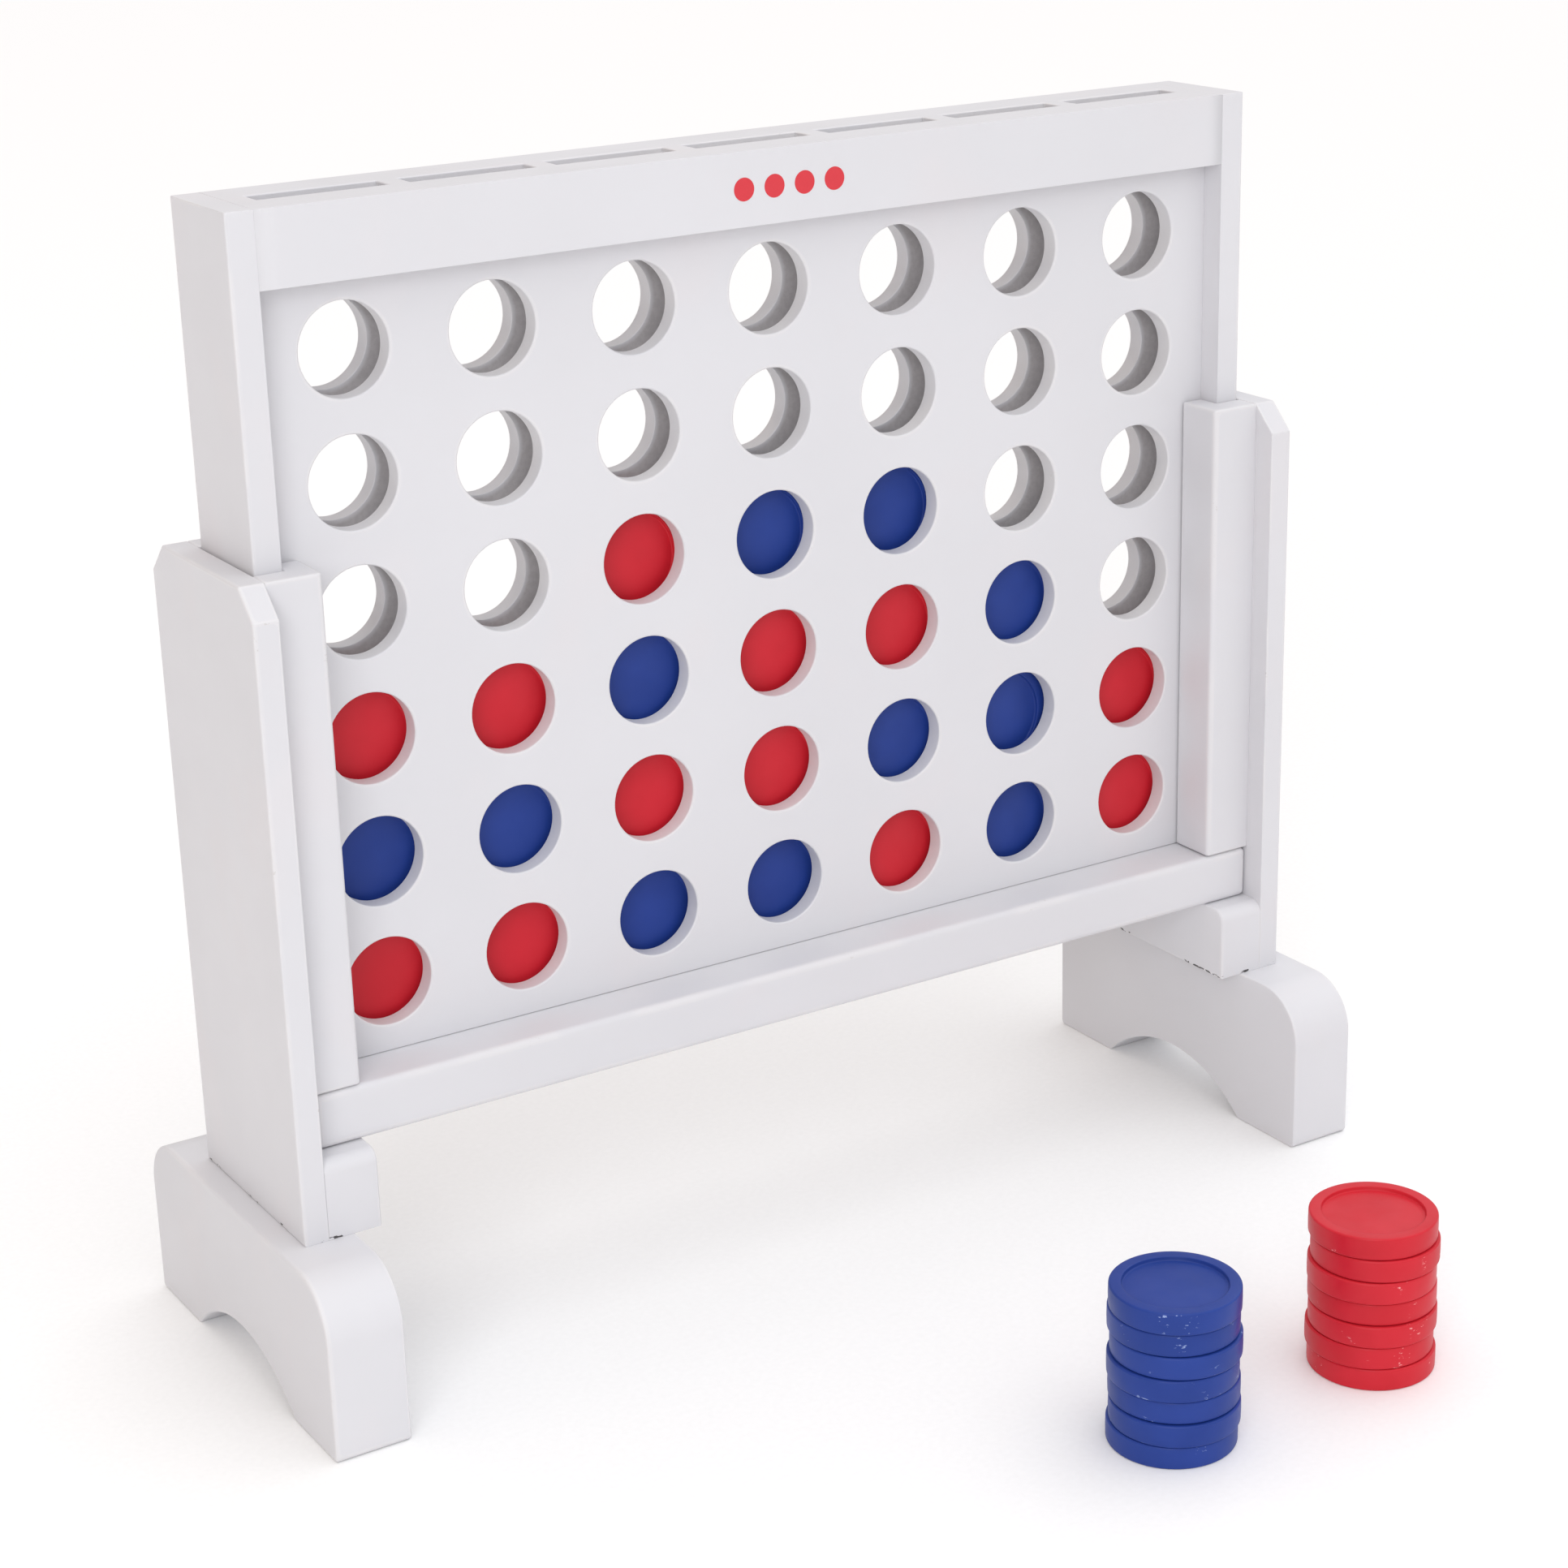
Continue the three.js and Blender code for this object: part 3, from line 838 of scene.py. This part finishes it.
# ---- A plain printed mark in place of lettering: four dots in a row ----
def rail_mark():
    low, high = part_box("top_rail")
    bm = bmesh.new()
    for k in range(MARK_DOTS):
        x = MARK_SHIFT + (k - (MARK_DOTS - 1) / 2) * MARK_PITCH
        place = Matrix.Translation((x, low.y, (low.z + high.z) / 2)) @ Matrix.Rotation(math.pi / 2, 4, "X")
        bmesh.ops.create_cone(
            bm,
            cap_ends=True,
            segments=MARK_SIDES,
            radius1=MARK_RADIUS,
            radius2=MARK_RADIUS - MARK_BEVEL,
            depth=2 * MARK_THICKNESS,
            matrix=place,
        )
    piece = mesh_object("rail_mark", bm, plain_material("printed_ink", rgb(0.66, 0.03, 0.045), 0.4))
    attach(piece, "board")


# ---- Studio ----
FLOOR_HALF_SIZE = 30

WORLD_LOW = 0.38  # strength of the light from the sides and below
WORLD_HIGH = 1.75  # and from straight above
FRONT_TINT = rgb(0.98, 0.985, 1.0)
REAR_TINT = rgb(0.43, 0.345, 0.28)

KEY_PLACE = Vector((-2.7, -2.9, 1.9))
KEY_TARGET = Vector((0, 0.1, 0.3))
KEY_SIZE = 1.8
KEY_WATTS = 49
KEY_COLOUR = (0.97, 0.98, 1.0)

CAMERA_ANGLES = (-31.68, 19.45, -1.577)  # azimuth, elevation and roll in degrees
CAMERA_DISTANCE = 1771.1 * MM
CAMERA_TARGET = Vector((11.9 * MM, BOARD_Y, 253.3 * MM))
LENS = 74.17  # millimetres, as is the sensor's width
SENSOR_WIDTH = 36
CLIP_START, CLIP_END = 0.05, 100


def floor():
    bm = bmesh.new()
    bmesh.ops.create_grid(bm, x_segments=1, y_segments=1, size=FLOOR_HALF_SIZE)
    piece = mesh_object("floor", bm, plain_material("floor_white", rgb(0.95, 0.95, 0.95), 0.9))
    piece.modifiers.clear()


def world():
    """A soft box all round: brightest above and in front, warm and dimmer towards the left and the back."""
    made = bpy.data.worlds.new("studio")
    bpy.context.scene.world = made
    made.use_nodes = True
    tree = made.node_tree
    background = tree.nodes["Background"]
    place = tree.nodes.new("ShaderNodeTexCoord").outputs["Generated"]

    def gradient(direction, low, high, out_low, out_high):
        along = tree.nodes.new("ShaderNodeVectorMath")
        along.operation = "DOT_PRODUCT"
        tree.links.new(place, along.inputs[0])
        along.inputs[1].default_value = direction
        scaled = tree.nodes.new("ShaderNodeMapRange")
        tree.links.new(along.outputs["Value"], scaled.inputs["Value"])
        for socket, value in zip(list(scaled.inputs)[1:5], (low, high, out_low, out_high)):
            socket.default_value = value
        return scaled.outputs["Result"]

    mix = tree.nodes.new("ShaderNodeMix")
    mix.data_type = "RGBA"
    tree.links.new(gradient((-0.8, 0.6, 0.0), -0.1, 0.9, 0.0, 1.0), mix.inputs[0])
    mix.inputs[6].default_value = FRONT_TINT
    mix.inputs[7].default_value = REAR_TINT
    tree.links.new(mix.outputs[2], background.inputs["Color"])
    tree.links.new(gradient((0.0, 0.0, 1.0), 0.0, 1.0, WORLD_LOW, WORLD_HIGH), background.inputs["Strength"])


def key_light():
    data = bpy.data.lights.new("key_light", "AREA")
    data.size = KEY_SIZE
    data.energy = KEY_WATTS
    data.color = KEY_COLOUR
    lamp = put_in_scene("key_light", data)
    lamp.location = KEY_PLACE
    lamp.rotation_euler = (KEY_TARGET - KEY_PLACE).to_track_quat("-Z", "Y").to_euler()


def camera():
    azimuth, elevation, roll = (math.radians(angle) for angle in CAMERA_ANGLES)
    away = Vector(
        (
            math.sin(azimuth) * math.cos(elevation),
            -math.cos(azimuth) * math.cos(elevation),
            math.sin(elevation),
        )
    )
    right = (-away).cross(Vector((0, 0, 1))).normalized()
    up = right.cross(-away)
    across = right * math.cos(roll) + up * math.sin(roll)
    upward = up * math.cos(roll) - right * math.sin(roll)
    data = bpy.data.cameras.new("camera")
    data.lens = LENS
    data.sensor_width = SENSOR_WIDTH
    data.clip_start = CLIP_START
    data.clip_end = CLIP_END
    made = put_in_scene("camera", data)
    turn = Matrix((across, upward, away)).transposed().to_4x4()
    made.matrix_world = Matrix.Translation(CAMERA_TARGET + away * CAMERA_DISTANCE) @ turn
    bpy.context.scene.camera = made


def build():
    top_rail()
    holed_panel("panel_front", "front_panel")
    holed_panel("panel_rear", "rear_panel")
    column_dividers()
    release_bar()
    for side, word in ((-1, "left"), (1, "right")):
        side_rail(side, word)
        leg_plate(side, word)
        front_batten(side, word)
        rear_batten(side, word)
        bracket_block(side, word)
        foot(side, word)
    discs()
    rail_mark()
    floor()
    world()
    key_light()
    camera()
    bpy.context.scene.view_settings.view_transform = "Standard"


build()
